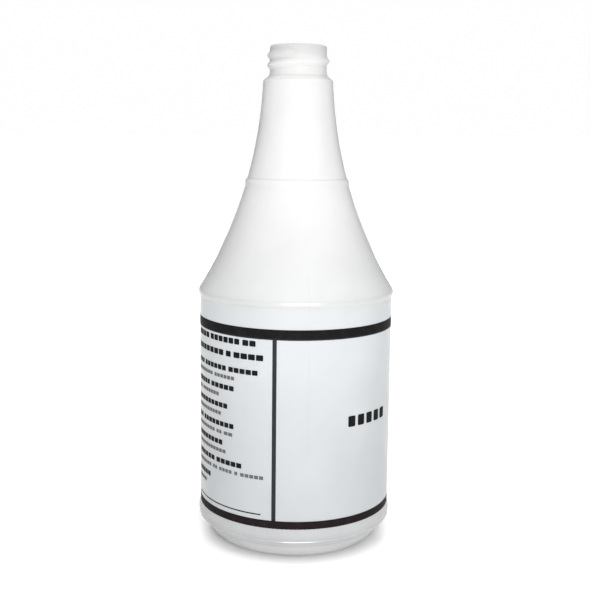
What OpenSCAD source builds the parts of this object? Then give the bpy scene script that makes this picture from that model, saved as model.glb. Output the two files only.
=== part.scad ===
/* [Body] */
// Diameter of the straight panel that carries the print
panel_d = 87; // [70:0.5:110]
// How far the two bumper rings stand out from the panel
bumper_out = 0.7; // [0.3:0.1:2]
// Height of the lower bumper's widest line
low_bumper_z = 12.6; // [12:0.1:20]
// Height of the straight panel between the two bumpers
panel_h = 95.9; // [80:0.1:110]
// Radius that turns the lower bumper into the heel
low_bumper_round = 7; // [4:0.5:10]
// Radius that turns the upper bumper into the shoulder
high_bumper_round = 3.5; // [2:0.5:8]
// Height of the soft rise from the panel to the lower bumper
low_rise = 2.7; // [1.5:0.1:4]
// Height of the soft rise from the panel to the upper bumper
high_rise = 1.8; // [1:0.1:4]
// Thickness of the blown wall
wall = 1; // [0.6:0.1:2]

/* [Base] */
// Slope of the heel, measured from the upright
heel_angle = 39; // [25:1:50]
// Radius between the heel and the resting ring
heel_round = 6; // [3:0.5:8]
// Width of the flat resting ring
rest_w = 2.4; // [1:0.2:5]
// Height of the step that leads from the resting ring to the push-up
push_step = 2.5; // [1.5:0.5:5]
// Run of that step towards the middle
push_run = 1.4; // [0.5:0.1:4]
// Height of the push-up at the middle of the base
push_up = 6; // [4:0.5:12]
// Depth of the groove round the heel
groove_depth = 0.35; // [0.1:0.05:0.6]
// Distance from the lower bumper's widest line down to the groove
groove_drop = 5.2; // [4.8:0.1:5.6]
// Height of the sharp upper side of the groove
groove_lip = 0.6; // [0.3:0.1:1]
// Height of the long lower side of the groove
groove_fall = 2.4; // [1:0.1:3]

/* [Shoulder] */
// Slope of the bell-shaped shoulder where it leaves the bumper, from the upright
shoulder_angle = 31.8; // [24:0.2:40]
// Height of the shoulder, from the upper bumper's widest line to the ledge
shoulder_h = 93.5; // [80:0.5:110]
// Diameter of that ledge
ledge_d = 30.8; // [29:0.2:36]
// Distance from the upper bumper's widest line up to the raised ring
ring_rise = 47; // [20:0.1:70]
// Height of the raised ring's face
ring_h = 2.7; // [1:0.1:5]
// How far the ring's top edge stands proud of the shoulder
ring_out = 0.6; // [0.3:0.05:1.5]
// Height of the slope that ends the ring
ring_slope = 1.1; // [0.4:0.1:2]

/* [Neck finish] */
// Outside diameter over the thread of a 28 mm neck
thread_d = 27.4; // [27:0.1:28]
// Diameter of the neck wall under the thread
neck_d = 25; // [24.5:0.1:25.4]
// Bore of the neck
bore_d = 21.4; // [19:0.1:22.4]
// Height from the ledge to the sealing rim
finish_h = 15.2; // [12:0.1:20]
// Height of the slope from the ledge to the collar under the thread
slope_h = 1.9; // [1:0.1:2.5]
// Height of the soft collar between that slope and the neck wall
collar_h = 1.7; // [0.4:0.1:2.5]
// How far the collar's foot stands out from the neck wall
collar_out = 0.5; // [0.2:0.1:1]
// Outer rounding of the rim
rim_round = 1.2; // [0.3:0.1:1.4]
// Bevel at the mouth of the bore
mouth_bevel = 0.3; // [0.2:0.1:0.5]
// Rise of the thread in one turn, six turns to the inch
thread_pitch = 4.233; // [3:0.001:5.1]
// Number of turns
thread_turns = 1.5; // [1:0.25:1.75]
// Distance from the rim to the middle of the thread's upper end
thread_drop = 3.4; // [3:0.1:5]
// Half the width of the thread at its foot
thread_foot = 1.2; // [0.8:0.1:1.4]
// Half the width of the thread at its crest
thread_crest = 0.35; // [0.2:0.05:0.6]
// Angle of the taper at each end of the thread
thread_taper = 35; // [20:5:60]
// Turn of the mould's parting line from the front, where the thread starts behind
parting_az = 7.6; // [-30:0.2:30]

/* [Print] */
// Thickness of the ink
ink = 0.15; // [0.05:0.05:0.3]
// Gap between the panel and the ink
ink_gap = 0.03; // [0.03:0.01:0.1]
// Gap between the lower bumper's rise and the lower band
low_band_gap = 0; // [0:0.1:4]
// Height of the lower band
low_band_h = 3.7; // [2:0.1:6]
// Gap between the upper band and the upper bumper's rise
high_band_gap = 8.5; // [0:0.1:12]
// Height of the upper band
high_band_h = 4.5; // [2:0.1:6]
// Turn of the divider's middle from the front
divider_az = -11.5; // [-40:0.5:40]
// Width of the divider
divider_w = 1.85; // [1:0.05:4]
// Distance round the panel from the front to where the rows start
rows_start = 59; // [40:1:62]
// Gap between two words
word_gap = 1.6; // [0.8:0.1:2.4]
// Height of the heading's bars
heading_h = 3; // [2:0.1:4]
// Height of the list's heavy bars
bold_h = 2.7; // [1.5:0.1:3.4]
// Height of the list's light bars
light_h = 2.1; // [1:0.1:3]
// Distance from the upper band down to the middle of the first heading row
heading_drop = 2.2; // [2:0.1:4]
// Distance between the two heading rows
heading_step = 5.9; // [4.2:0.1:6]
// Distance from the upper band down to the middle of the first list row
list_drop = 14.8; // [12:0.1:18]
// Distance between two heavy rows of the list
list_step = 8.4; // [6:0.1:8.8]
// Distance from a heavy row down to its light row
light_drop = 3.8; // [3:0.1:4.2]
// Height of the write-in line above the lower band
line_rise = 1.9; // [1:0.1:3]
// Thickness of the write-in line
line_h = 0.3; // [0.2:0.05:0.6]
// Distance round the panel from the front to the write-in line's end
line_end = 14.5; // [12:0.5:30]
// Width of one code block
block_w = 3.8; // [2:0.1:4.4]
// Height of one code block
block_h = 4.8; // [3:0.1:7]
// Distance between two code blocks
block_step = 5.25; // [4.6:0.05:6]
// Number of code blocks
block_count = 5; // [3:1:7]
// Distance round the panel from the front to the first block
block_start = 24.3; // [10:0.1:30]
// Distance from the lower band up to the code blocks
block_rise = 40.3; // [5:0.1:60]

/* [Hidden] */

$fn = 96;
round_step = 5;
flank_steps = 16;
rise_steps = 8;
overlap = 0.4;
rim_land = 0.1;

panel_r = panel_d / 2;
panel_low_z = low_bumper_z + low_rise;
panel_high_z = panel_low_z + panel_h;
high_bumper_z = panel_high_z + high_rise;
ledge_z = high_bumper_z + shoulder_h;
ring_z = high_bumper_z + ring_rise;
ring_end_z = ring_z + ring_h + ring_slope;
groove_z = low_bumper_z - groove_drop;
low_band_z = panel_low_z + low_band_gap;
low_band_top = low_band_z + low_band_h;
high_band_z = panel_high_z - high_band_gap - high_band_h;
bumper_r = panel_r + bumper_out;
ledge_r = ledge_d / 2;
neck_r = neck_d / 2;
bore_r = bore_d / 2;
slope_z = ledge_z + slope_h;
rim_z = ledge_z + finish_h;

// The rim's rounding leaves a flat land between itself and the bevel
rim_r = min(rim_round, neck_r - bore_r - mouth_bevel - rim_land);

// The heel's straight slope touches the lower bumper's round at one end
heel_top_r = bumper_r - low_bumper_round * (1 - cos(heel_angle));
heel_top_z = low_bumper_z - low_bumper_round * sin(heel_angle);
heel_foot_r = heel_top_r - heel_top_z * tan(heel_angle);
rest_r = heel_foot_r - heel_round * tan((90 - heel_angle) / 2);
rest_in = rest_r - rest_w;

// The shoulder is one hollow arc from the upper bumper to the ledge
flank_foot = [bumper_r - high_bumper_round * (1 - cos(shoulder_angle)),
              high_bumper_z + high_bumper_round * sin(shoulder_angle)];
flank_run = flank_foot[0] - ledge_r;
flank_rise = ledge_z - flank_foot[1];
flank_chord = norm([flank_run, flank_rise]);
chord_angle = atan2(flank_run, flank_rise);
flank_r = flank_chord / (2 * sin(shoulder_angle - chord_angle));
flank_end = 2 * chord_angle - shoulder_angle;
flank_mid = flank_foot + flank_r * [cos(shoulder_angle), sin(shoulder_angle)];

thread_top_z = rim_z - thread_drop;
thread_low_z = thread_top_z - thread_turns * thread_pitch;

// Word widths of each row; the rows stand for print without being text
heading_rows = [[13.2, 19, 6.4], [24.5, 3, 14.6]];
bold_rows = [[7.4, 17.1, 15.1], [13.7, 15.5], [27], [5.5, 23.6], [23.8], [17.9, 15.5], [14.2]];
light_rows = [[16.4, 13], [4, 15.7], [22.8], [18, 3.6, 5.2], [25.9], [15, 3.4, 8, 1.6, 11.2], [9.9]];

ink_black = [0.08, 0.08, 0.09];
ink_grey = [0.42, 0.42, 0.44];

// Points along an arc in the section plane, both ends included
function arc(mid, r, from, to) =
    let (n = max(2, ceil(abs(to - from) / round_step)))
    [for (i = [0:n]) let (a = from + (to - from) * i / n) mid + r * [cos(a), sin(a)]];

// The points inside a soft S-shaped rise between two radii
function rise(r_from, r_to, z_from, z_to) =
    [for (i = [1:rise_steps - 1]) let (t = i / rise_steps)
        [r_from + (r_to - r_from) * (1 - cos(180 * t)) / 2, z_from + (z_to - z_from) * t]];

// The shoulder's arc between two heights, set in by t
function flank(t, from_z, to_z) =
    [for (i = [1:flank_steps])
        let (a = shoulder_angle + (flank_end - shoulder_angle) * i / flank_steps,
             p = flank_mid - (flank_r + t) * [cos(a), sin(a)])
        if (p[1] > from_z && p[1] < to_z) p];

function flank_radius(z) = flank_mid[0] - sqrt(flank_r * flank_r - pow(z - flank_mid[1], 2));

function heel_radius(z) = heel_foot_r + z * tan(heel_angle);

// The push-up dome and the step down to the resting ring, set in by t
function base_line(t) =
    let (edge_r = rest_in - push_run,
         dome_rise = push_up - push_step,
         dome_r = (edge_r * edge_r + dome_rise * dome_rise) / (2 * dome_rise),
         dome_mid = [0, push_up - dome_r],
         half = asin(edge_r / dome_r),
         tilt = atan2(push_run, push_step),
         slide = t * tan((90 - tilt) / 2))
    concat([for (i = [0:8]) dome_mid + (dome_r + t) * [sin(half * i / 8), cos(half * i / 8)]],
           [[rest_in + slide, t]]);

// From the middle of the base to the heel, set in by t
function foot_line(t) = concat(
    base_line(t),
    arc([rest_r, heel_round], heel_round - t, -90, -heel_angle));

// From the lower bumper past the panel to the shoulder, set in by t
function panel_line(t) = concat(
    arc([bumper_r - low_bumper_round, low_bumper_z], low_bumper_round - t, -heel_angle, 0),
    rise(bumper_r - t, panel_r - t, low_bumper_z, panel_low_z),
    [[panel_r - t, panel_low_z], [panel_r - t, panel_high_z]],
    rise(panel_r - t, bumper_r - t, panel_high_z, high_bumper_z),
    arc([bumper_r - high_bumper_round, high_bumper_z], high_bumper_round - t, 0, shoulder_angle));

// The groove round the heel: a long fall below, a short lip above
groove_line = [
    [heel_radius(groove_z - groove_lip - groove_fall), groove_z - groove_lip - groove_fall],
    [heel_radius(groove_z - groove_lip) - groove_depth, groove_z - groove_lip],
    [heel_radius(groove_z), groove_z]];

// The raised ring on the shoulder
ring_line = [
    [flank_radius(ring_z), ring_z],
    [flank_radius(ring_z + ring_h) + ring_out, ring_z + ring_h],
    [flank_radius(ring_end_z), ring_end_z]];

outside_line = concat(foot_line(0), groove_line, panel_line(0),
    flank(0, 0, ring_z - 1), ring_line, flank(0, ring_end_z + 1, rim_z));
inside_line = concat(foot_line(wall), panel_line(wall), flank(wall, 0, rim_z));

function reversed(list) = [for (i = [len(list) - 1:-1:0]) list[i]];

// Outside of the neck above the ledge, then the bore back down into the shoulder
neck_line = concat(
    [[neck_r + collar_out, slope_z], [neck_r, slope_z + collar_h]],
    arc([neck_r - rim_r, rim_z - rim_r], rim_r, 0, 90),
    [[bore_r + mouth_bevel, rim_z], [bore_r, rim_z - mouth_bevel], [bore_r, ledge_z + slope_h / 2]]);

// One bead swept up a right-hand helix, sunk into the neck wall at both ends
module thread() {
    step = 10;
    n = floor(thread_turns * 360 / step);
    depth = (thread_d - neck_d) / 2;
    sweep = thread_turns * 360;
    function height(a) = -0.15 + (depth + 0.15) * sin(90 * min(1, a / thread_taper, (sweep - a) / thread_taper));
    function ring(i) =
        let (a = sweep * i / n,
             z = thread_low_z + thread_pitch * a / 360,
             turn = parting_az + 90 + a,
             crest = neck_r + height(a),
             root = neck_r - overlap)
        [for (p = [[root, -thread_foot - overlap], [crest, -thread_crest],
                   [crest, thread_crest], [root, thread_foot + overlap]])
            [p[0] * cos(turn), p[0] * sin(turn), z + p[1]]];
    points = [for (i = [0:n]) each ring(i)];
    sides = [for (i = [0:n - 1], k = [0:3])
        [4 * i + k, 4 * i + (k + 1) % 4, 4 * (i + 1) + (k + 1) % 4, 4 * (i + 1) + k]];
    polyhedron(points, concat([[3, 2, 1, 0]], sides, [[4 * n, 4 * n + 1, 4 * n + 2, 4 * n + 3]]), 4);
}

module bottle() {
    color([0.93, 0.94, 0.94])
    union() {
        rotate_extrude() polygon(concat(outside_line, neck_line, reversed(inside_line)));
        thread();
    }
}

module ink_section(z, h) {
    translate([panel_r + ink_gap, z]) square([ink, h]);
}

// A patch of ink on the panel: distances round it run from the front, to the right
module patch(from, to, z, h) {
    start = from / panel_r * 180 / PI;
    sweep = (to - from) / panel_r * 180 / PI;
    rotate([0, 0, start - 90]) rotate_extrude(angle = sweep) ink_section(z, h);
}

// A row of word bars
module row(words, z, h) {
    for (i = [0:len(words) - 1]) {
        before = i == 0 ? 0 : sum(words, i - 1) + i * word_gap;
        patch(before - rows_start, before + words[i] - rows_start, z - h / 2, h);
    }
}

function sum(list, last) = last < 0 ? 0 : list[last] + sum(list, last - 1);

module band(z, h) {
    rotate_extrude() ink_section(z, h);
}

module print_frame() {
    mid = divider_az / 180 * PI * panel_r;
    color(ink_black) union() {
        band(low_band_z, low_band_h);
        band(high_band_z, high_band_h);
        patch(mid - divider_w / 2, mid + divider_w / 2, low_band_top, high_band_z - low_band_top);
    }
}

module print_heading() {
    color(ink_black) for (i = [0:len(heading_rows) - 1])
        row(heading_rows[i], high_band_z - heading_drop - i * heading_step, heading_h);
}

module print_list_bold() {
    color(ink_black) for (i = [0:len(bold_rows) - 1])
        row(bold_rows[i], high_band_z - list_drop - i * list_step, bold_h);
}

module print_list_light() {
    color(ink_grey) for (i = [0:len(light_rows) - 1])
        row(light_rows[i], high_band_z - list_drop - light_drop - i * list_step, light_h);
}

module print_write_in_line() {
    color(ink_black) patch(-rows_start, -line_end, low_band_top + line_rise, line_h);
}

module print_code_blocks() {
    color(ink_black) for (i = [0:block_count - 1])
        patch(block_start + i * block_step, block_start + i * block_step + block_w,
              low_band_top + block_rise, block_h);
}

bottle();
print_frame();
print_heading();
print_list_bold();
print_list_light();
print_write_in_line();
print_code_blocks();
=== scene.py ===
"""A blown polyethylene bottle with an open threaded neck and a printed panel.

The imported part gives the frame. This file models the moulding and its ink once
more, with the soft corners and the thin print that the solids leave out, and
sets the bottle on a pale floor in soft light.

Sizes in the classes are millimetres, and everything in Blender is metres. +Z
runs up the bottle's axis and -Y is the front. An azimuth is a turn about that
axis, in degrees, from the front towards +X.
"""

from __future__ import annotations

import logging
import math
from dataclasses import dataclass, field
from enum import Enum
from typing import Any

import bmesh
import bpy
from mathutils import Matrix, Vector

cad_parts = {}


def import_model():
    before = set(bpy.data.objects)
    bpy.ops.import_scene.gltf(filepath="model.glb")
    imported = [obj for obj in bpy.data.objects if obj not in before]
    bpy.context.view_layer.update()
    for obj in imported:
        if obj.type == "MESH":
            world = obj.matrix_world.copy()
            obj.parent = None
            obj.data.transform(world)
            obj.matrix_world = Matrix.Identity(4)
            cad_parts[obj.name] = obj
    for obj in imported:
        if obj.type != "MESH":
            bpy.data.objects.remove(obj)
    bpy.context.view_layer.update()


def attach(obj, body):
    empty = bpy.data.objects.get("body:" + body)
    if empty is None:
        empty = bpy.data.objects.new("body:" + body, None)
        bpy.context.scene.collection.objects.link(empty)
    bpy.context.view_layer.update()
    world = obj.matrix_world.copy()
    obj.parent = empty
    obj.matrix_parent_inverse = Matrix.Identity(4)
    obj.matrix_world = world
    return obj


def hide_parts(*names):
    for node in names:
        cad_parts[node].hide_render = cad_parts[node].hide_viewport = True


LOG = logging.getLogger("bottle")
MM = 0.001
LONGEST_SHARE = 0.48  # how much of a line a rounded corner may take up

Point = tuple[float, float]
Colour = tuple[float, float, float]


# Section lines


def arc(mid: Point, radius: float, start: float, end: float, step: float = 3.0) -> list[Point]:
    """Lay points along an arc in the section plane, both ends included.

    Args:
        mid: The arc's centre, as distance from the axis and height.
        radius: The arc's radius.
        start: The angle of the first point, in degrees from the outward side.
        end: The angle of the last point.
        step: The widest angle between two points.

    Returns:
        The points in order.
    """
    count = max(2, math.ceil(abs(end - start) / step))
    turns = [math.radians(start + (end - start) * i / count) for i in range(count + 1)]
    return [(mid[0] + radius * math.cos(a), mid[1] + radius * math.sin(a)) for a in turns]


def rounded(
    before: Point, corner: Point, after: Point, reach: float, count: int = 4
) -> list[Point]:
    """Replace a corner of a section line by a soft curve.

    Args:
        before: The line's point before the corner.
        corner: The corner itself.
        after: The line's point after the corner.
        reach: How far from the corner the curve starts and ends.
        count: How many steps the curve has.

    Returns:
        The curve's points, which take the corner's place.
    """
    ends = []
    for other in (before, after):
        run = math.dist(corner, other)
        share = min(reach, LONGEST_SHARE * run) / run
        ends.append(tuple(c + (o - c) * share for c, o in zip(corner, other)))
    curve = []
    for i in range(count + 1):
        t = i / count
        weights = ((1 - t) ** 2, 2 * t * (1 - t), t * t)
        parts = (ends[0], corner, ends[1])
        curve.append(tuple(sum(w * p[k] for w, p in zip(weights, parts)) for k in (0, 1)))
    return curve


def swell(start: Point, end: Point, steps: int = 14) -> list[Point]:
    """Lay the inner points of a soft S-shaped rise between two points.

    Args:
        start: The lower point.
        end: The upper point.
        steps: How many steps the rise has.

    Returns:
        The points in order.
    """
    line = []
    for i in range(1, steps):
        t = i / steps
        ease = (1 - math.cos(math.pi * t)) / 2
        line.append((start[0] + (end[0] - start[0]) * ease, start[1] + (end[1] - start[1]) * t))
    return line


# Modelling by hand


def deselect_all() -> None:
    """Leave no object selected and none active."""
    if bpy.context.mode != "OBJECT":
        bpy.ops.object.mode_set(mode="OBJECT")
    bpy.ops.object.select_all(action="DESELECT")


def pick(piece: bpy.types.Object) -> None:
    """Select one piece alone and make it the active one.

    Args:
        piece: The piece.
    """
    deselect_all()
    piece.select_set(True)
    bpy.context.view_layer.objects.active = piece


def edit(piece: bpy.types.Object) -> None:
    """Open one piece in edit mode with all of it selected.

    Args:
        piece: The piece.
    """
    pick(piece)
    bpy.ops.object.mode_set(mode="EDIT")
    bpy.ops.mesh.select_all(action="SELECT")


def turn(degrees: float) -> None:
    """Turn what is selected about the bottle's axis, anticlockwise from above.

    The angle is handed over with its sign changed, because without a window
    the operator turns the other way.

    Args:
        degrees: The angle.
    """
    bpy.ops.transform.rotate(
        value=-math.radians(degrees), orient_axis="Z", center_override=(0, 0, 0)
    )


def close_up(piece: bpy.types.Object, reach: float = 1e-7) -> None:
    """Merge the doubles of a piece and point its faces outwards.

    Args:
        piece: The piece.
        reach: The widest gap between doubles, in metres.
    """
    edit(piece)
    bpy.ops.mesh.remove_doubles(threshold=reach)
    bpy.ops.mesh.normals_make_consistent(inside=False)
    bpy.ops.object.mode_set(mode="OBJECT")


def apply_place(piece: bpy.types.Object) -> None:
    """Move a piece's place, turn and scale into its mesh."""
    pick(piece)
    bpy.ops.object.transform_apply(location=True, rotation=True, scale=True)


def add_modifier(piece: bpy.types.Object, kind: str, **settings: Any) -> None:
    """Add a modifier to a piece, set it and apply it.

    Args:
        piece: The piece.
        kind: The modifier's type.
        settings: What is set on it.
    """
    pick(piece)
    modifier = piece.modifiers.new(kind.lower(), kind)
    for name, value in settings.items():
        setattr(modifier, name, value)
    bpy.ops.object.modifier_apply(modifier=modifier.name)


def smooth(piece: bpy.types.Object, degrees: float) -> None:
    """Shade a piece smooth, and leave edges sharper than the angle crisp."""
    pick(piece)
    bpy.ops.object.shade_smooth_by_angle(angle=math.radians(degrees))


def paint(piece: bpy.types.Object, material: bpy.types.Material) -> None:
    """Give a piece one material all over."""
    piece.data.materials.clear()
    piece.data.materials.append(material)


def dress(
    piece: bpy.types.Object, node: str, material: bpy.types.Material
) -> bpy.types.Object:
    """Paint a piece and let it stand for its node.

    Args:
        piece: The finished piece.
        node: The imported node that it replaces.
        material: What it is painted with.

    Returns:
        The same piece.
    """
    paint(piece, material)
    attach(piece, "root")
    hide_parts(node)
    return piece


# Shader maths


class Wire:
    """A value in a node tree, so that shader maths reads as a formula."""

    def __init__(self, recipe: Recipe, socket: bpy.types.NodeSocket) -> None:
        """Wrap one output socket of a recipe."""
        self.recipe = recipe
        self.socket = socket

    def _maths(self, operation: str, *values: Any) -> Wire:
        """Add a Math node on these values."""
        return self.recipe.node("ShaderNodeMath", {"operation": operation}, dict(enumerate(values)))

    def __add__(self, other: Any) -> Wire:
        """Add."""
        return self._maths("ADD", self, other)

    def __radd__(self, other: Any) -> Wire:
        """Add, from the right."""
        return self._maths("ADD", other, self)

    def __sub__(self, other: Any) -> Wire:
        """Subtract."""
        return self._maths("SUBTRACT", self, other)

    def __rsub__(self, other: Any) -> Wire:
        """Subtract from a number."""
        return self._maths("SUBTRACT", other, self)

    def __mul__(self, other: Any) -> Wire:
        """Multiply."""
        return self._maths("MULTIPLY", self, other)

    def __rmul__(self, other: Any) -> Wire:
        """Multiply, from the right."""
        return self._maths("MULTIPLY", other, self)

    def size(self) -> Wire:
        """Drop the sign."""
        return self._maths("ABSOLUTE", self)

    def at_least(self, other: Any) -> Wire:
        """Take the greater of two values."""
        return self._maths("MAXIMUM", self, other)

    def azimuth_with(self, along: Wire) -> Wire:
        """Take the angle whose sine runs as this value and cosine as the other."""
        return self._maths("ARCTAN2", self, along)

    def between(self, low: float, high: float) -> Wire:
        """Ease from 0 at low to 1 at high; low may be the greater one.

        Args:
            low: Where the result is 0.
            high: Where it is 1.

        Returns:
            The eased share.
        """
        return self.recipe.node(
            "ShaderNodeMapRange",
            {"interpolation_type": "SMOOTHSTEP", "clamp": True},
            {"Value": self, "From Min": low, "From Max": high, "To Min": 0.0, "To Max": 1.0},
        )


class Recipe:
    """The nodes of one material or of the world."""

    def __init__(self, tree: bpy.types.NodeTree) -> None:
        """Start from an empty tree."""
        self.tree = tree
        tree.nodes.clear()

    def node(
        self, kind: str, settings: dict[str, Any], inputs: dict[str | int, Any], out: str | int = 0
    ) -> Wire:
        """Add one node.

        Args:
            kind: The node's type.
            settings: What is set on the node, before its sockets are.
            inputs: The value or wire of each input, by its name or number.
            out: The name or number of the output that is wanted.

        Returns:
            The wire from that output.
        """
        made = self.tree.nodes.new(kind)
        for name, value in settings.items():
            setattr(made, name, value)
        for name, value in inputs.items():
            if isinstance(value, Wire):
                self.tree.links.new(value.socket, made.inputs[name])
            elif isinstance(value, tuple) and made.inputs[name].type == "RGBA":
                made.inputs[name].default_value = (*value, 1.0)
            else:
                made.inputs[name].default_value = value
        return Wire(self, made.outputs[out])

    def place(self) -> tuple[Wire, Wire, Wire, Wire]:
        """Give the place on the piece, and its x, y and z.

        Returns:
            The wires of the place and of its three parts.
        """
        spot = self.node("ShaderNodeTexCoord", {}, {}, "Object")
        split = [self.node("ShaderNodeSeparateXYZ", {}, {"Vector": spot}, k) for k in "XYZ"]
        return spot, *split

    def vector(self, x: Any, y: Any, z: Any) -> Wire:
        """Join three values into a vector."""
        return self.node("ShaderNodeCombineXYZ", {}, {"X": x, "Y": y, "Z": z})

    def noise(self, where: Wire, scale: float, detail: float = 2.0, rough: float = 0.5) -> Wire:
        """Add a noise that runs from about 0 to 1, with a number of features to the metre."""
        inputs = {"Vector": where, "Scale": scale, "Detail": detail, "Roughness": rough}
        return self.node("ShaderNodeTexNoise", {"noise_dimensions": "3D"}, inputs, "Fac")

    def blend(self, share: Any, first: Any, second: Any) -> Wire:
        """Mix two colours.

        Args:
            share: How much of the second colour there is.
            first: The first colour.
            second: The second colour.

        Returns:
            The mixed colour.
        """
        return self.node(
            "ShaderNodeMix", {"data_type": "RGBA"}, {0: share, 6: first, 7: second}, 2
        )

    def bump(
        self, height: Wire, distance: float, strength: float = 1.0, under: Wire | None = None
    ) -> Wire:
        """Turn a height in parts of the distance, in metres, into a surface normal.

        Args:
            height: The height, from 0 to 1.
            distance: How high 1 stands, in metres.
            strength: How much of the bump shows.
            under: The normal that it lies on, if any.

        Returns:
            The normal.
        """
        inputs = {"Height": height, "Distance": distance, "Strength": strength}
        if under is not None:
            inputs["Normal"] = under
        return self.node("ShaderNodeBump", {}, inputs)


def new_material(name: str) -> tuple[bpy.types.Material, Recipe]:
    """Make an empty material with nodes.

    Args:
        name: The material's name.

    Returns:
        The material and its recipe.
    """
    material = bpy.data.materials.new(name)
    material.use_nodes = True
    return material, Recipe(material.node_tree)


def surface(recipe: Recipe, inputs: dict[str, Any]) -> None:
    """Close a recipe with one Principled surface.

    Args:
        recipe: The material's recipe.
        inputs: The value or wire of each socket that is used.
    """
    shader = recipe.node("ShaderNodeBsdfPrincipled", {}, inputs, "BSDF")
    out = recipe.tree.nodes.new("ShaderNodeOutputMaterial")
    recipe.tree.links.new(shader.socket, out.inputs["Surface"])


# Finishes


@dataclass(frozen=True)
class Polyethylene:
    """Natural blown polyethylene: milky, satin and a little see-through."""

    # The zone tones from rim to foot are painted light and shade, set height by height
    rim: Colour = (0.428, 0.43, 0.427)
    neck: Colour = (0.555, 0.557, 0.55)
    cone: Colour = (0.564, 0.566, 0.562)
    shoulder: Colour = (0.502, 0.505, 0.505)
    bumper: Colour = (0.488, 0.494, 0.496)
    panel: Colour = (0.481, 0.499, 0.512)
    panel_foot: Colour = (0.41, 0.424, 0.434)
    heel: Colour = (0.385, 0.388, 0.393)
    foot: Colour = (0.51, 0.51, 0.51)
    # painted shade laid along the creases
    crease_shade: Colour = (0.3, 0.3, 0.3)
    cloud: Colour = (0.9, 0.905, 0.91)
    streak: Colour = (0.47, 0.49, 0.5)
    seam: Colour = (0.42, 0.44, 0.45)
    roughness: float = 0.25
    neck_roughness: float = 0.5
    see_through: float = 0.1
    cloud_scale: float = 38.0
    cloud_share: float = 0.2
    streaks_round: float = 300.0
    streaks_up: float = 9.0
    streak_share: float = 0.3
    grain_scale: float = 900.0
    wave_scale: float = 22.0
    scuffs_round: float = 60.0
    scuffs_up: float = 140.0
    scuff_share: float = 0.06
    # how much painted shade darkens the creases
    crease_shade_share: float = 0.2
    seam_share: float = 0.15
    seam_above: float = 0.12
    shine_at_sides: float = 0.3

    def material(self, bottle: Moulding) -> bpy.types.Material:
        """Mix the material for one bottle.

        Args:
            bottle: The moulding, whose heights and parting line the finish follows.

        Returns:
            The material.
        """
        material, recipe = new_material("blown_polyethylene")
        spot, x, y, z = recipe.place()
        round_it = x.azimuth_with(y * -1.0) * (bottle.panel_r * MM)

        # Cloudy patches, and faint streaks drawn down by the parison
        clouds = recipe.noise(spot, self.cloud_scale, 3.0, 0.55)
        drawn = recipe.vector(round_it * self.streaks_round, z * self.streaks_up, 0.0)
        streaks = recipe.noise(drawn, 1.0, 2.0, 0.6)
        grain = recipe.noise(spot, self.grain_scale, 2.0, 0.6)

        # The tone changes up the bottle as painted light and shade, zone by zone: darkest at the
        # heel and the panel's foot, lightest on the cone and the neck
        steps = (
            (2.0, bottle.low_bumper_z - 2, self.heel),
            (bottle.low_bumper_z + 1, bottle.panel_low_z + 5, self.panel_foot),
            (bottle.panel_low_z + 10, bottle.panel_high_z - 8, self.panel),
            (bottle.panel_high_z - 2.5, bottle.panel_high_z - 0.5, self.bumper),
            (bottle.high_bumper_z + 1, bottle.high_bumper_z + 7, self.shoulder),
            (bottle.high_bumper_z + 8, bottle.high_bumper_z + bottle.ring_rise + 5, self.cone),
            (bottle.ledge_z - 1, bottle.ledge_z + 6, self.neck),
            (bottle.ledge_z + 7, bottle.rim_z - 1, self.rim),
        )
        tone = self.foot
        for low, high, colour in steps:
            tone = recipe.blend(z.between(low * MM, high * MM), tone, colour)

        # Painted shade darkens a thin line along each crease
        for crease_z in bottle.creases():
            in_crease_shade = (z - crease_z * MM).size().between(0.00055, 0.0001)
            tone = recipe.blend(in_crease_shade * self.crease_shade_share, tone, self.crease_shade)
        tone = recipe.blend((clouds - 0.5) * self.cloud_share + 0.04, tone, self.cloud)
        streaked = (streaks - 0.45).at_least(0.0) * self.streak_share
        tone = recipe.blend(streaked, tone, self.streak)

        # The mould's halves meet in a fine raised line, front and back
        turned = math.radians(bottle.parting_az)
        off_seam = (x * math.cos(turned) + y * math.sin(turned)).size()
        low_down = z.between(0.15, 0.105)
        seam = off_seam.between(0.0004, 0.00008) * (
            low_down * (1.0 - self.seam_above) + self.seam_above
        )
        tone = recipe.blend(seam * self.seam_share, tone, self.seam)

        uneven = recipe.noise(spot, self.wave_scale, 1.0, 0.4)
        normal = recipe.bump(uneven, 0.00035, 0.35)
        normal = recipe.bump(streaks, 0.00002, 0.6, normal)
        normal = recipe.bump(seam, 0.00003, 1.0, normal)
        normal = recipe.bump(grain, 0.000006, 0.6, normal)
        top = z.between(bottle.ledge_z * MM, (bottle.ledge_z + 4) * MM)
        gloss = top * (self.neck_roughness - self.roughness) + self.roughness

        # The upper bumper and the lip on the heel are rubbed shiny, most of all in front
        on_bumper = (z - bottle.rubbed_z * MM).size().between(0.0016, 0.0006)
        on_lip = (z - bottle.lip_z * MM).size().between(0.0009, 0.0003)
        in_front = y.between(-0.02, -0.036) * (1.0 - self.shine_at_sides)
        rubbed = (on_bumper + on_lip) * (in_front + self.shine_at_sides)
        scratches = recipe.vector(
            x * self.scuffs_round, y * self.scuffs_round, z * self.scuffs_up
        )
        scuffed = recipe.noise(scratches, 1.0, 2.0, 0.5)
        surface(
            recipe,
            {
                "Base Color": tone,
                "Roughness": (scuffed - 0.5) * self.scuff_share + gloss,
                "IOR": 1.5,
                "Specular IOR Level": 0.12,
                "Coat Weight": rubbed,
                "Coat Roughness": 0.22,
                "Subsurface Weight": self.see_through,
                "Subsurface Radius": (1.0, 1.0, 0.95),
                "Subsurface Scale": 0.003,
                "Normal": normal,
            },
        )
        return material


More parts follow.
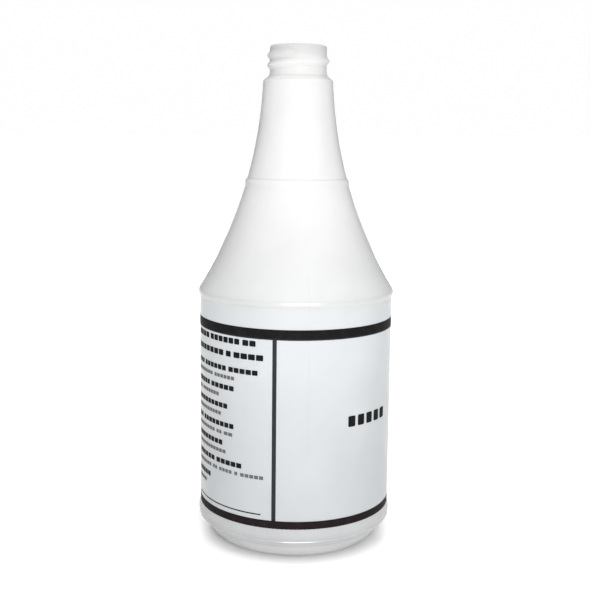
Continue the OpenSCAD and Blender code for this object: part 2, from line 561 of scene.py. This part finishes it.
@dataclass(frozen=True)
class ScreenInk:
    """Screen-printed ink, a little uneven and worn."""

    name: str
    tint: Colour
    roughness: float = 0.5
    worn: float = 0.25
    tints_below: tuple[tuple[float, Colour], ...] = ()

    def material(self) -> bpy.types.Material:
        """Mix the ink, with another tint under each of the heights in tints_below.

        Returns:
            The material.
        """
        material, recipe = new_material(self.name)
        spot, _, _, z = recipe.place()
        patchy = recipe.noise(spot, 260.0, 4.0, 0.65)
        pinholes = recipe.noise(spot, 1500.0, 2.0, 0.5)
        tone = self.tint
        for top_z, tint in self.tints_below:
            tone = recipe.blend(z.between((top_z + 1) * MM, top_z * MM), tone, tint)
        tone = recipe.blend((patchy - 0.5).at_least(0.0) * self.worn, tone, (0.12, 0.12, 0.125))
        surface(
            recipe,
            {
                "Base Color": tone,
                "Roughness": patchy * 0.2 + (self.roughness - 0.1),
                "Specular IOR Level": 0.02,
                "Normal": recipe.bump(pinholes, 0.000008, 0.5),
            },
        )
        return material


@dataclass(frozen=True)
class PaleFloor:
    """The plain pale floor that the bottle stands on."""

    tone: Colour = (0.9, 0.9, 0.9)

    def material(self) -> bpy.types.Material:
        """Mix the floor's material.

        Returns:
            The material.
        """
        material, recipe = new_material("pale_floor")
        surface(recipe, {"Base Color": self.tone, "Roughness": 0.9, "Specular IOR Level": 0.0})
        return material


# The pieces


@dataclass
class Moulding:
    """The blown bottle: one hollow wall with its neck finish."""

    panel_r: float = 43.5
    bumper_out: float = 0.7
    low_bumper_z: float = 12.6
    panel_h: float = 95.9
    low_bumper_round: float = 7.0
    high_bumper_round: float = 3.5
    low_rise: float = 2.7
    low_rise_soft: float = 0.8
    high_rise: float = 1.8
    wall: float = 1.0
    heel_angle: float = 39.0
    heel_round: float = 6.0
    rest_w: float = 2.4
    push_step: float = 2.5
    push_run: float = 1.4
    push_up: float = 6.0
    push_soft: float = 0.8
    rest_soft: float = 0.5
    lip_angle: float = 24.5
    lip_top: float = 0.35
    lip_fall: float = 1.5
    lip_out: float = 0.4
    lip_soft: float = 0.2
    lip_top_soft: float = 0.12
    rub_rise: float = 0.7
    groove_depth: float = 0.35
    groove_drop: float = 5.2
    groove_lip: float = 0.6
    groove_fall: float = 2.4
    groove_soft: tuple[float, float, float] = (0.3, 0.2, 0.25)
    shoulder_angle: float = 31.8
    shoulder_h: float = 93.5
    ledge_r: float = 15.4
    ring_rise: float = 47.0
    ring_h: float = 2.7
    ring_out: float = 0.6
    ring_slope: float = 1.1
    ring_soft: tuple[float, float, float] = (0.8, 0.45, 0.15)
    margin: float = 1.0
    thread_r: float = 13.7
    neck_r: float = 12.5
    bore_r: float = 10.7
    finish_h: float = 15.2
    slope_h: float = 1.9
    collar_h: float = 1.7
    collar_out: float = 0.5
    ledge_soft: float = 0.45
    knee_soft: float = 0.6
    collar_soft: float = 0.8
    rim_round: float = 1.2
    mouth_bevel: float = 0.3
    mouth_soft: float = 0.2
    bore_soft: float = 1.2
    pitch: float = 4.233
    turns: float = 1.5
    thread_drop: float = 3.4
    thread_half: float = 2.5
    thread_soft: float = 0.45
    thread_taper: float = 35.0
    thread_sunk: float = 0.35
    thread_step: float = 5.0
    thread_thin: float = 0.2
    parting_az: float = 7.6
    segments: int = 192
    push_steps: int = 16
    panel_steps: int = 24
    flank_steps: int = 60
    neck_steps: int = 14

    def __post_init__(self) -> None:
        """Work out the heights and radii that follow from the sizes."""
        self.bumper_r = self.panel_r + self.bumper_out
        self.panel_low_z = self.low_bumper_z + self.low_rise
        self.panel_high_z = self.panel_low_z + self.panel_h
        self.high_bumper_z = self.panel_high_z + self.high_rise
        self.ledge_z = self.high_bumper_z + self.shoulder_h
        self.rim_z = self.ledge_z + self.finish_h
        lean = math.radians(self.heel_angle)
        heel_top_r = self.bumper_r - self.low_bumper_round * (1 - math.cos(lean))
        heel_top_z = self.low_bumper_z - self.low_bumper_round * math.sin(lean)
        self.heel_foot_r = heel_top_r - heel_top_z * math.tan(lean)
        self.rest_r = self.heel_foot_r - self.heel_round * math.tan((math.pi / 2 - lean) / 2)
        self.rest_in = self.rest_r - self.rest_w
        lip_reach = self.low_bumper_round + self.lip_out
        lip_drop = lip_reach * math.sin(math.radians(self.lip_angle))
        self.lip_z = self.low_bumper_z - lip_drop + self.lip_top / 2
        self.rubbed_z = self.high_bumper_z + self.rub_rise
        self._set_flank()

    def _set_flank(self) -> None:
        """Find the hollow arc that runs from the upper bumper to the ledge."""
        steep = math.radians(self.shoulder_angle)
        foot_r = self.bumper_r - self.high_bumper_round * (1 - math.cos(steep))
        foot_z = self.high_bumper_z + self.high_bumper_round * math.sin(steep)
        run, rise = foot_r - self.ledge_r, self.ledge_z - foot_z
        chord = math.atan2(run, rise)
        self.flank_r = math.hypot(run, rise) / (2 * math.sin(steep - chord))
        self.flank_end = math.degrees(2 * chord - steep)
        self.flank_mid = (
            foot_r + self.flank_r * math.cos(steep),
            foot_z + self.flank_r * math.sin(steep),
        )

    def heel_radius(self, z: float) -> float:
        """Give the heel's straight slope at a height."""
        return self.heel_foot_r + z * math.tan(math.radians(self.heel_angle))

    def flank_radius(self, z: float) -> float:
        """Give the shoulder's hollow arc at a height."""
        return self.flank_mid[0] - math.sqrt(self.flank_r**2 - (z - self.flank_mid[1]) ** 2)

    def flank(self, inset: float, low: float, high: float) -> list[Point]:
        """Lay the shoulder's arc between two heights, set in by a wall.

        Args:
            inset: How far the line lies inside the outer one.
            low: Where the arc starts.
            high: Where it ends.

        Returns:
            The points in order.
        """
        start, end, count = self.shoulder_angle, self.flank_end, self.flank_steps
        reach = self.flank_r + inset
        line = []
        for i in range(1, count + 1):
            a = math.radians(start + (end - start) * i / count)
            r = self.flank_mid[0] - reach * math.cos(a)
            z = self.flank_mid[1] - reach * math.sin(a)
            if low < z < high:
                line.append((r, z))
        return line

    def base(self, inset: float) -> list[Point]:
        """Lay the push-up and the step down to the resting ring, set in by a wall.

        Args:
            inset: How far the line lies inside the outer one.

        Returns:
            The points in order.
        """
        edge = self.rest_in - self.push_run
        rise = self.push_up - self.push_step
        dome = (edge**2 + rise**2) / (2 * rise)
        half = math.asin(edge / dome)
        line = []
        for i in range(self.push_steps + 1):
            a = half * i / self.push_steps
            z = self.push_up - dome + (dome + inset) * math.cos(a)
            line.append(((dome + inset) * math.sin(a), z))
        tilt = math.atan2(self.push_run, self.push_step)
        slide = inset * math.tan((math.pi / 2 - tilt) / 2)
        corner = (self.rest_in + slide, inset)
        after = (self.rest_r, inset)
        return (
            line[:-1]
            + rounded(line[-2], line[-1], corner, self.push_soft)
            + rounded(line[-1], corner, after, self.rest_soft)
        )

    def foot(self, inset: float) -> list[Point]:
        """Lay the line from the middle of the base to the heel, set in by a wall."""
        mid = (self.rest_r, self.heel_round)
        return self.base(inset) + arc(mid, self.heel_round - inset, -90, -self.heel_angle)

    def panel(self, inset: float) -> list[Point]:
        """Lay the line from the lower bumper to the shoulder, set in by a wall.

        Args:
            inset: How far the line lies inside the outer one.

        Returns:
            The points in order.
        """
        out, flat = self.bumper_r - inset, self.panel_r - inset
        low = (self.bumper_r - self.low_bumper_round, self.low_bumper_z)
        high = (self.bumper_r - self.high_bumper_round, self.high_bumper_z)
        if inset:
            line = arc(low, self.low_bumper_round - inset, -self.heel_angle, 0)
        else:
            line = self.lipped(low)
        low_end, low_start = (out, self.low_bumper_z), (flat, self.panel_low_z)
        line = line[:-1] + rounded(line[-2], low_end, low_start, self.low_rise_soft)
        line += rounded(low_end, low_start, (flat, self.panel_high_z), self.low_rise_soft)
        for i in range(1, self.panel_steps + 1):
            line.append((flat, self.panel_low_z + self.panel_h * i / self.panel_steps))
        line += swell((flat, self.panel_high_z), (out, self.high_bumper_z))
        return line + arc(high, self.high_bumper_round - inset, 0, self.shoulder_angle)

    def lipped(self, mid: Point) -> list[Point]:
        """Lay the lower bumper's outer round, with a fine lip that catches the light.

        Args:
            mid: The centre of the bumper's round.

        Returns:
            The points in order.
        """
        reach = self.low_bumper_round
        above = -self.lip_angle + math.degrees(self.lip_top / reach)
        below = -self.lip_angle - math.degrees(self.lip_fall / reach)
        lower = arc(mid, reach, -self.heel_angle, below)
        upper = arc(mid, reach, above, 0)
        crest = arc(mid, reach + self.lip_out, -self.lip_angle, 0)[0]
        return (
            lower
            + rounded(lower[-1], crest, upper[0], self.lip_soft, 6)
            + rounded(crest, upper[0], upper[1], self.lip_top_soft, 3)
            + upper[1:]
        )

    def groove(self) -> list[Point]:
        """Lay the groove round the heel: a long fall below, a short lip above.

        Returns:
            The points in order.
        """
        lip_z = self.low_bumper_z - self.groove_drop
        deep_z = lip_z - self.groove_lip
        start_z = deep_z - self.groove_fall
        start = (self.heel_radius(start_z), start_z)
        deep = (self.heel_radius(deep_z) - self.groove_depth, deep_z)
        lip = (self.heel_radius(lip_z), lip_z)
        below = (self.heel_radius(start_z - self.margin), start_z - self.margin)
        above = (self.heel_radius(lip_z + self.margin), lip_z + self.margin)
        foot_soft, deep_soft, lip_soft = self.groove_soft
        return (
            rounded(below, start, deep, foot_soft)
            + rounded(start, deep, lip, deep_soft)
            + rounded(deep, lip, above, lip_soft)
        )

    def ring(self) -> list[Point]:
        """Lay the raised ring half way up the shoulder.

        Returns:
            The points in order.
        """
        low_z = self.high_bumper_z + self.ring_rise
        top_z = low_z + self.ring_h
        end_z = top_z + self.ring_slope
        low = (self.flank_radius(low_z), low_z)
        top = (self.flank_radius(top_z) + self.ring_out, top_z)
        end = (self.flank_radius(end_z), end_z)
        below = (self.flank_radius(low_z - self.margin), low_z - self.margin)
        above = (self.flank_radius(end_z + self.margin), end_z + self.margin)
        foot_soft, top_soft, end_soft = self.ring_soft
        return (
            rounded(below, low, top, foot_soft)
            + rounded(low, top, end, top_soft)
            + rounded(top, end, above, end_soft, 2)
        )

    def creases(self) -> tuple[float, ...]:
        """Give the heights of the groove and of the creases over the ring and the ledge.

        Returns:
            The heights.
        """
        ring_end = self.high_bumper_z + self.ring_rise + self.ring_h + self.ring_slope
        groove = self.low_bumper_z - self.groove_drop - self.groove_lip
        return groove, ring_end, self.ledge_z + self.slope_h

    def outline(self) -> list[Point]:
        """Lay the whole section: base, outside, rim, bore, and back down the inside.

        Returns:
            The points in order.
        """
        ring_low = self.high_bumper_z + self.ring_rise
        ring_end = ring_low + self.ring_h + self.ring_slope
        outside = self.foot(0) + self.groove() + self.panel(0)
        outside += self.flank(0, 0, ring_low - self.margin) + self.ring()
        outside += self.flank(0, ring_end + self.margin, self.ledge_z - self.margin / 2)
        ledge = (self.ledge_r, self.ledge_z)
        knee = (self.neck_r + self.collar_out, self.ledge_z + self.slope_h)
        wall = (self.neck_r, knee[1] + self.collar_h)
        outside += rounded(outside[-1], ledge, knee, self.ledge_soft)
        outside += rounded(ledge, knee, wall, self.knee_soft, 3)
        outside += rounded(knee, wall, (self.neck_r, self.rim_z), self.collar_soft)
        climb = (self.rim_z - self.rim_round - wall[1]) / self.neck_steps
        outside += [(self.neck_r, wall[1] + climb * i) for i in range(2, self.neck_steps)]
        rim_mid = (self.neck_r - self.rim_round, self.rim_z - self.rim_round)
        outside += arc(rim_mid, self.rim_round, 0, 90, 9)
        lip = (self.bore_r + self.mouth_bevel, self.rim_z)
        bore_top = (self.bore_r, self.rim_z - self.mouth_bevel)
        bore_end = (self.bore_r, self.ledge_z + self.slope_h / 2)
        inside = self.foot(self.wall) + self.panel(self.wall)
        inside += self.flank(self.wall, 0, self.rim_z)
        line = outside + rounded(rim_mid, lip, bore_top, self.mouth_soft, 2)
        line += rounded(lip, bore_top, bore_end, self.mouth_soft, 2)
        line += rounded(bore_top, bore_end, inside[-1], self.bore_soft, 5)
        return line + inside[::-1]

    def shell(self) -> bpy.types.Object:
        """Draw the section point by point and spin it round the axis.

        Returns:
            The piece.
        """
        line = self.outline()
        deselect_all()
        bpy.ops.mesh.primitive_plane_add(size=1 * MM, location=(0, 0, 0))
        piece = bpy.context.object
        piece.name = "blown_bottle"
        edit(piece)
        bpy.ops.mesh.merge(type="CENTER")
        bpy.ops.transform.translate(value=(line[0][0] * MM, 0, line[0][1] * MM))
        for before, after in zip(line, line[1:]):
            step = ((after[0] - before[0]) * MM, 0.0, (after[1] - before[1]) * MM)
            bpy.ops.mesh.extrude_vertices_move(TRANSFORM_OT_translate={"value": step})
        bpy.ops.mesh.select_all(action="SELECT")
        bpy.ops.mesh.spin(
            steps=self.segments, angle=2 * math.pi, center=(0, 0, 0), axis=(0, 0, 1)
        )
        close_up(piece, 2e-6)
        return piece

    def bead(self) -> bpy.types.Object:
        """Sweep the thread's bead up its helix, run out thin at both ends.

        Returns:
            The piece.
        """
        sweep = self.turns * 360.0
        count = int(sweep / self.thread_step)
        start_az = self.parting_az + 90.0
        root = self.neck_r - self.thread_sunk
        depth = self.thread_r - root + self.thread_soft / 3
        low_z = self.rim_z - self.thread_drop - self.turns * self.pitch
        deselect_all()
        bpy.ops.mesh.primitive_circle_add(
            vertices=4, radius=1 * MM, fill_type="NGON", rotation=(math.pi / 2, 0, 0)
        )
        piece = bpy.context.object
        piece.name = "neck_thread"
        apply_place(piece)
        edit(piece)
        bpy.ops.transform.resize(value=(depth, 1, self.thread_half), center_override=(0, 0, 0))
        bpy.ops.mesh.bevel(offset=self.thread_soft * MM, segments=4, affect="VERTICES")
        bpy.ops.mesh.select_all(action="SELECT")
        bpy.ops.transform.translate(value=(root * MM, 0, low_z * MM))
        turn(start_az)
        rise = self.pitch * MM / 360 * sweep / count
        fullness = 1.0
        for i in range(count + 1):
            a = sweep * i / count
            share = min(1, a / self.thread_taper, (sweep - a) / self.thread_taper)
            wanted = max(self.thread_thin, math.sin(math.pi / 2 * share))
            if i:
                bpy.ops.mesh.extrude_region_move(TRANSFORM_OT_translate={"value": (0, 0, rise)})
                turn(sweep / count)
            at = math.radians(start_az + a)
            height = (low_z + self.pitch * a / 360) * MM
            centre = (root * MM * math.cos(at), root * MM * math.sin(at), height)
            scale = wanted / fullness
            bpy.ops.transform.resize(value=(scale, scale, scale), center_override=centre)
            fullness = wanted
        close_up(piece)
        return piece

    def build(self, finish: Polyethylene) -> bpy.types.Object:
        """Model the bottle, join its thread to it and dress it.

        Args:
            finish: The plastic it is blown from.

        Returns:
            The finished piece.
        """
        piece, thread = self.shell(), self.bead()
        add_modifier(piece, "BOOLEAN", operation="UNION", object=thread, solver="EXACT")
        bpy.data.objects.remove(thread)
        smooth(piece, 32)
        return dress(piece, "bottle", finish.material(self))


class Weight(Enum):
    """How heavy a row of print is."""

    HEADING = "heading"
    BOLD = "bold"
    LIGHT = "light"


@dataclass(frozen=True)
class RowStyle:
    """The look of one kind of row: plain dashes, all of one height."""

    height: float
    dash: float
    gap: float
    corner: float


@dataclass
class PanelPrint:
    """The ink on the panel, drawn flat and then wrapped round it."""

    bottle: Moulding
    ink: float = 0.04
    sink: float = 0.03
    low_band_h: float = 3.7
    high_band_gap: float = 8.5
    high_band_h: float = 4.5
    divider_az: float = -11.5
    divider_w: float = 1.85
    rows_start: float = 59.0
    word_gap: float = 1.6
    heading_drop: float = 2.2
    heading_step: float = 5.9
    list_drop: float = 14.8
    list_step: float = 8.4
    light_drop: float = 3.8
    line_rise: float = 1.9
    line_h: float = 0.55
    line_end: float = 14.5
    block_w: float = 3.8
    block_h: float = 4.8
    block_step: float = 5.25
    block_count: int = 5
    block_start: float = 24.3
    block_rise: float = 40.3
    block_corner: float = 0.6
    band_cut: float = 2.0
    block_cut: float = 1.0
    styles: dict[Weight, RowStyle] = field(
        default_factory=lambda: {
            Weight.HEADING: RowStyle(2.5, 3.0, 0.5, 0.35),
            Weight.BOLD: RowStyle(2.2, 2.6, 0.45, 0.3),
            Weight.LIGHT: RowStyle(1.6, 1.9, 0.4, 0.2),
        }
    )
    words: dict[Weight, list[list[float]]] = field(
        default_factory=lambda: {
            Weight.HEADING: [[13.2, 19, 6.4], [24.5, 3, 14.6]],
            Weight.BOLD: [
                [7.4, 17.1, 15.1], [13.7, 15.5], [27], [5.5, 23.6], [23.8], [17.9, 15.5], [14.2],
            ],
            Weight.LIGHT: [
                [16.4, 13], [4, 15.7], [22.8], [18, 3.6, 5.2], [25.9],
                [15, 3.4, 8, 1.6, 11.2], [9.9],
            ],
        }
    )

    def __post_init__(self) -> None:
        """Work out the heights of the bands."""
        self.low_band_z = self.bottle.panel_low_z
        self.low_band_top = self.low_band_z + self.low_band_h
        self.high_band_z = self.bottle.panel_high_z - self.high_band_gap - self.high_band_h

    def sheet(self, name: str) -> bpy.types.Object:
        """Start an empty flat sheet of ink in edit mode.

        Args:
            name: The sheet's name.

        Returns:
            The sheet, open.
        """
        deselect_all()
        bpy.ops.mesh.primitive_cube_add(size=1 * MM)
        piece = bpy.context.object
        piece.name = name
        edit(piece)
        bpy.ops.mesh.delete(type="VERT")
        return piece

    def block(self, left: float, right: float, low: float, high: float) -> None:
        """Add one flat block of ink to the sheet that is open, left to right and low to high.

        Args:
            left: Its left side.
            right: Its right side.
            low: Its foot.
            high: Its top.
        """
        middle = ((left + right) / 2, (self.sink - self.ink) / 2, (low + high) / 2)
        sides = (right - left, self.ink + self.sink, high - low)
        bpy.ops.mesh.primitive_cube_add(
            size=1, location=[v * MM for v in middle], scale=[v * MM for v in sides]
        )

    @staticmethod
    def round_corners(piece: bpy.types.Object, corner: float) -> None:
        """Round the upright corners of each flat block.

        Args:
            piece: The sheet, open.
            corner: How far the rounding reaches.
        """
        mesh = bmesh.from_edit_mesh(piece.data)
        for edge in mesh.edges:
            run = edge.verts[1].co - edge.verts[0].co
            edge.select_set(abs(run.y) > 0.9 * run.length)
        bmesh.update_edit_mesh(piece.data)
        bpy.ops.mesh.bevel(offset=corner * MM, segments=3, affect="EDGES")

    def wrap(self, piece: bpy.types.Object, cut: float | None) -> None:
        """Wrap a flat sheet round the panel.

        Args:
            piece: The sheet, open in edit mode.
            cut: How far apart its cuts lie, or None where its blocks are small.
        """
        radius = self.bottle.panel_r
        mesh = bmesh.from_edit_mesh(piece.data)
        across = [v.co.x for v in mesh.verts]
        left, right = min(across), max(across)
        if cut is not None:
            count = math.ceil((right - left) / (cut * MM))
            for i in range(1, count):
                bpy.ops.mesh.select_all(action="SELECT")
                at = left + (right - left) * i / count
                bpy.ops.mesh.bisect(plane_co=(at, 0, 0), plane_no=(1, 0, 0))
        bpy.ops.object.mode_set(mode="OBJECT")
        add_modifier(
            piece,
            "SIMPLE_DEFORM",
            deform_method="BEND",
            deform_axis="Z",
            angle=(right - left) / (radius * MM),
        )
        edit(piece)
        bpy.ops.transform.translate(value=(0, -radius * MM, 0))
        bpy.ops.object.mode_set(mode="OBJECT")
        close_up(piece, 1e-6)
        smooth(piece, 30)

    def frame_lines(self) -> bpy.types.Object:
        """Draw the two bands and the divider as one sheet.

        Returns:
            The sheet, wrapped.
        """
        piece = self.sheet("ink_bands_and_divider")
        half = math.pi * self.bottle.panel_r
        mid = math.radians(self.divider_az) * self.bottle.panel_r
        self.block(-half, half, self.low_band_z, self.low_band_top)
        self.block(-half, half, self.high_band_z, self.high_band_z + self.high_band_h)
        mesh = bmesh.from_edit_mesh(piece.data)
        for face in mesh.faces:
            face.select_set(abs(face.normal.x) > 0.9)
        bmesh.update_edit_mesh(piece.data)
        bpy.ops.mesh.delete(type="ONLY_FACE")
        left, right = mid - self.divider_w / 2, mid + self.divider_w / 2
        self.block(left, right, self.low_band_top, self.high_band_z)
        self.wrap(piece, self.band_cut)
        return piece

    def rows(self, weight: Weight, first_z: float, step: float) -> bpy.types.Object:
        """Draw rows of plain dashes where the print has its words.

        Args:
            weight: The kind of row.
            first_z: The height of the first row's middle.
            step: The distance down to the next row.

        Returns:
            The sheet, wrapped.
        """
        style = self.styles[weight]
        piece = self.sheet(f"ink_rows_{weight.value}")
        for number, words in enumerate(self.words[weight]):
            foot = first_z - number * step - style.height / 2
            left = -self.rows_start
            for width in words:
                count = max(1, round((width + style.gap) / (style.dash + style.gap)))
                run = (width - (count - 1) * style.gap) / count
                for i in range(count):
                    start = left + i * (run + style.gap)
                    self.block(start, start + run, foot, foot + style.height)
                left += width + self.word_gap
        bpy.ops.mesh.select_all(action="SELECT")
        self.round_corners(piece, style.corner)
        self.wrap(piece, None)
        return piece

    def write_in_line(self) -> bpy.types.Object:
        """Draw the fine line above the lower band.

        Returns:
            The sheet, wrapped.
        """
        piece = self.sheet("ink_write_in_line")
        low = self.low_band_top + self.line_rise
        self.block(-self.rows_start, -self.line_end, low, low + self.line_h)
        self.wrap(piece, self.band_cut)
        return piece

    def code_blocks(self) -> bpy.types.Object:
        """Draw the five plain blocks on the right.

        Returns:
            The sheet, wrapped.
        """
        piece = self.sheet("ink_code_blocks")
        low = self.low_band_top + self.block_rise
        for i in range(self.block_count):
            left = self.block_start + i * self.block_step
            self.block(left, left + self.block_w, low, low + self.block_h)
        self.round_corners(piece, self.block_corner)
        self.wrap(piece, self.block_cut)
        return piece

    def build(self) -> list[bpy.types.Object]:
        """Print the whole panel and hand back its pieces.

        Returns:
            The six sheets.
        """
        slate, brown = (0.024, 0.026, 0.031), (0.014, 0.010, 0.011)
        below = ((self.high_band_z, slate), (self.low_band_top, brown))
        frame = ScreenInk("ink_frame", (0.009, 0.009, 0.009), tints_below=below).material()
        dark = ScreenInk("ink_black", (0.009, 0.009, 0.010)).material()
        pale = ScreenInk("ink_grey", (0.115, 0.115, 0.12), 0.55, 0.5).material()
        heading_z = self.high_band_z - self.heading_drop
        list_z = self.high_band_z - self.list_drop
        heading = self.rows(Weight.HEADING, heading_z, self.heading_step)
        bold = self.rows(Weight.BOLD, list_z, self.list_step)
        light = self.rows(Weight.LIGHT, list_z - self.light_drop, self.list_step)
        return [
            dress(self.frame_lines(), "print_frame", frame),
            dress(heading, "print_heading", dark),
            dress(bold, "print_list_bold", dark),
            dress(light, "print_list_light", pale),
            dress(self.write_in_line(), "print_write_in_line", dark),
            dress(self.code_blocks(), "print_code_blocks", dark),
        ]


# The studio


@dataclass(frozen=True)
class SoftLight:
    """One soft light, aimed at a point on the bottle's axis."""

    name: str
    place: tuple[float, float, float]
    aim_z: float
    width: float
    height: float
    watts: float

    def build(self) -> bpy.types.Object:
        """Hang the light.

        Returns:
            The light.
        """
        data = bpy.data.lights.new(self.name, "AREA")
        data.shape = "RECTANGLE"
        data.size, data.size_y = self.width, self.height
        data.energy = self.watts
        light = bpy.data.objects.new(self.name, data)
        bpy.context.scene.collection.objects.link(light)
        aim = Vector((0, 0, self.aim_z)) - Vector(self.place)
        facing = aim.to_track_quat("-Z", "Y").to_matrix().to_4x4()
        light.matrix_world = Matrix.Translation(self.place) @ facing
        light.visible_camera = False
        return light


@dataclass(frozen=True)
class PhotoCamera:
    """The camera, placed as the photograph's edges and bands give it."""

    distance: float = 468.7
    height: float = 185.9
    yaw: float = 0.05
    pitch: float = 9.125
    roll: float = -0.6
    lens: float = 63.475
    sensor: float = 36.0

    def build(self) -> bpy.types.Object:
        """Set the camera up and make it the scene's.

        Returns:
            The camera.
        """
        data = bpy.data.cameras.new("photo_camera")
        data.lens = self.lens
        data.sensor_width = self.sensor
        camera = bpy.data.objects.new("photo_camera", data)
        bpy.context.scene.collection.objects.link(camera)
        turn_it = Matrix.Rotation(math.radians(self.yaw), 4, "Z")
        tilt = Matrix.Rotation(math.radians(-self.pitch), 4, "X")
        roll = Matrix.Rotation(math.radians(self.roll), 4, "Y")
        upright = Matrix.Rotation(math.pi / 2, 4, "X")
        place = Matrix.Translation((0, -self.distance * MM, self.height * MM))
        camera.matrix_world = place @ turn_it @ tilt @ roll @ upright
        bpy.context.scene.camera = camera
        return camera


@dataclass(frozen=True)
class Studio:
    """A pale floor, soft lights in front and behind, and a dim surround at the back."""

    floor_size: float = 30.0
    floor_drop: float = 0.0002
    top_light: float = 2.79
    side_light: float = 0.07
    back_light: float = 0.05
    seen_light: float = 0.995
    key: SoftLight = SoftLight("key", (0.1, -1.1, 0.4), 0.12, 0.7, 0.12, 11.2)
    fill: SoftLight = SoftLight("fill", (0.0, 1.1, 0.3), 0.12, 0.08, 0.3, 4.5)

    def floor(self) -> bpy.types.Object:
        """Lay the floor as a wide disc just under the resting ring.

        Returns:
            The floor.
        """
        deselect_all()
        bpy.ops.mesh.primitive_circle_add(
            vertices=64,
            radius=self.floor_size,
            fill_type="NGON",
            location=(0, 0, -self.floor_drop),
        )
        floor = bpy.context.object
        floor.name = "floor"
        apply_place(floor)
        paint(floor, PaleFloor().material())
        return floor

    def surround(self) -> None:
        """Light the bottle from the front and above, and keep it dim behind.

        The camera itself sees plain white there.
        """
        world = bpy.data.worlds.new("studio")
        world.use_nodes = True
        bpy.context.scene.world = world
        recipe = Recipe(world.node_tree)
        way = recipe.node("ShaderNodeTexCoord", {}, {}, "Generated")
        _, y, z = (recipe.node("ShaderNodeSeparateXYZ", {}, {"Vector": way}, k) for k in "XYZ")
        lit = z.between(0.6, 0.95) * (self.top_light - self.side_light) + self.side_light
        behind = y.between(0.2, 0.8) * z.between(0.7, 0.4)
        level = lit * (1.0 - behind) + behind * self.back_light
        seen = recipe.node("ShaderNodeLightPath", {}, {}, "Is Camera Ray")
        level = level * (1.0 - seen) + seen * self.seen_light
        sky = recipe.node(
            "ShaderNodeBackground", {}, {"Color": (1.0, 1.0, 1.0), "Strength": level}
        )
        out = recipe.tree.nodes.new("ShaderNodeOutputWorld")
        recipe.tree.links.new(sky.socket, out.inputs["Surface"])

    def build(self) -> None:
        """Build the floor, the surround, the lights and the camera."""
        self.floor()
        self.surround()
        self.key.build()
        self.fill.build()
        PhotoCamera().build()
        bpy.context.scene.view_settings.view_transform = "Standard"


def main() -> None:
    """Load the frame, build each piece in order and report it."""
    logging.basicConfig(level=logging.INFO, format="%(message)s")
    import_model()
    Studio().build()
    bottle = Moulding()
    pieces = [bottle.build(Polyethylene())]
    pieces += PanelPrint(bottle).build()
    for piece in pieces:
        piece.data.calc_loop_triangles()
        LOG.info("%s: %d triangles", piece.name, len(piece.data.loop_triangles))


if __name__ == "__main__":
    main()
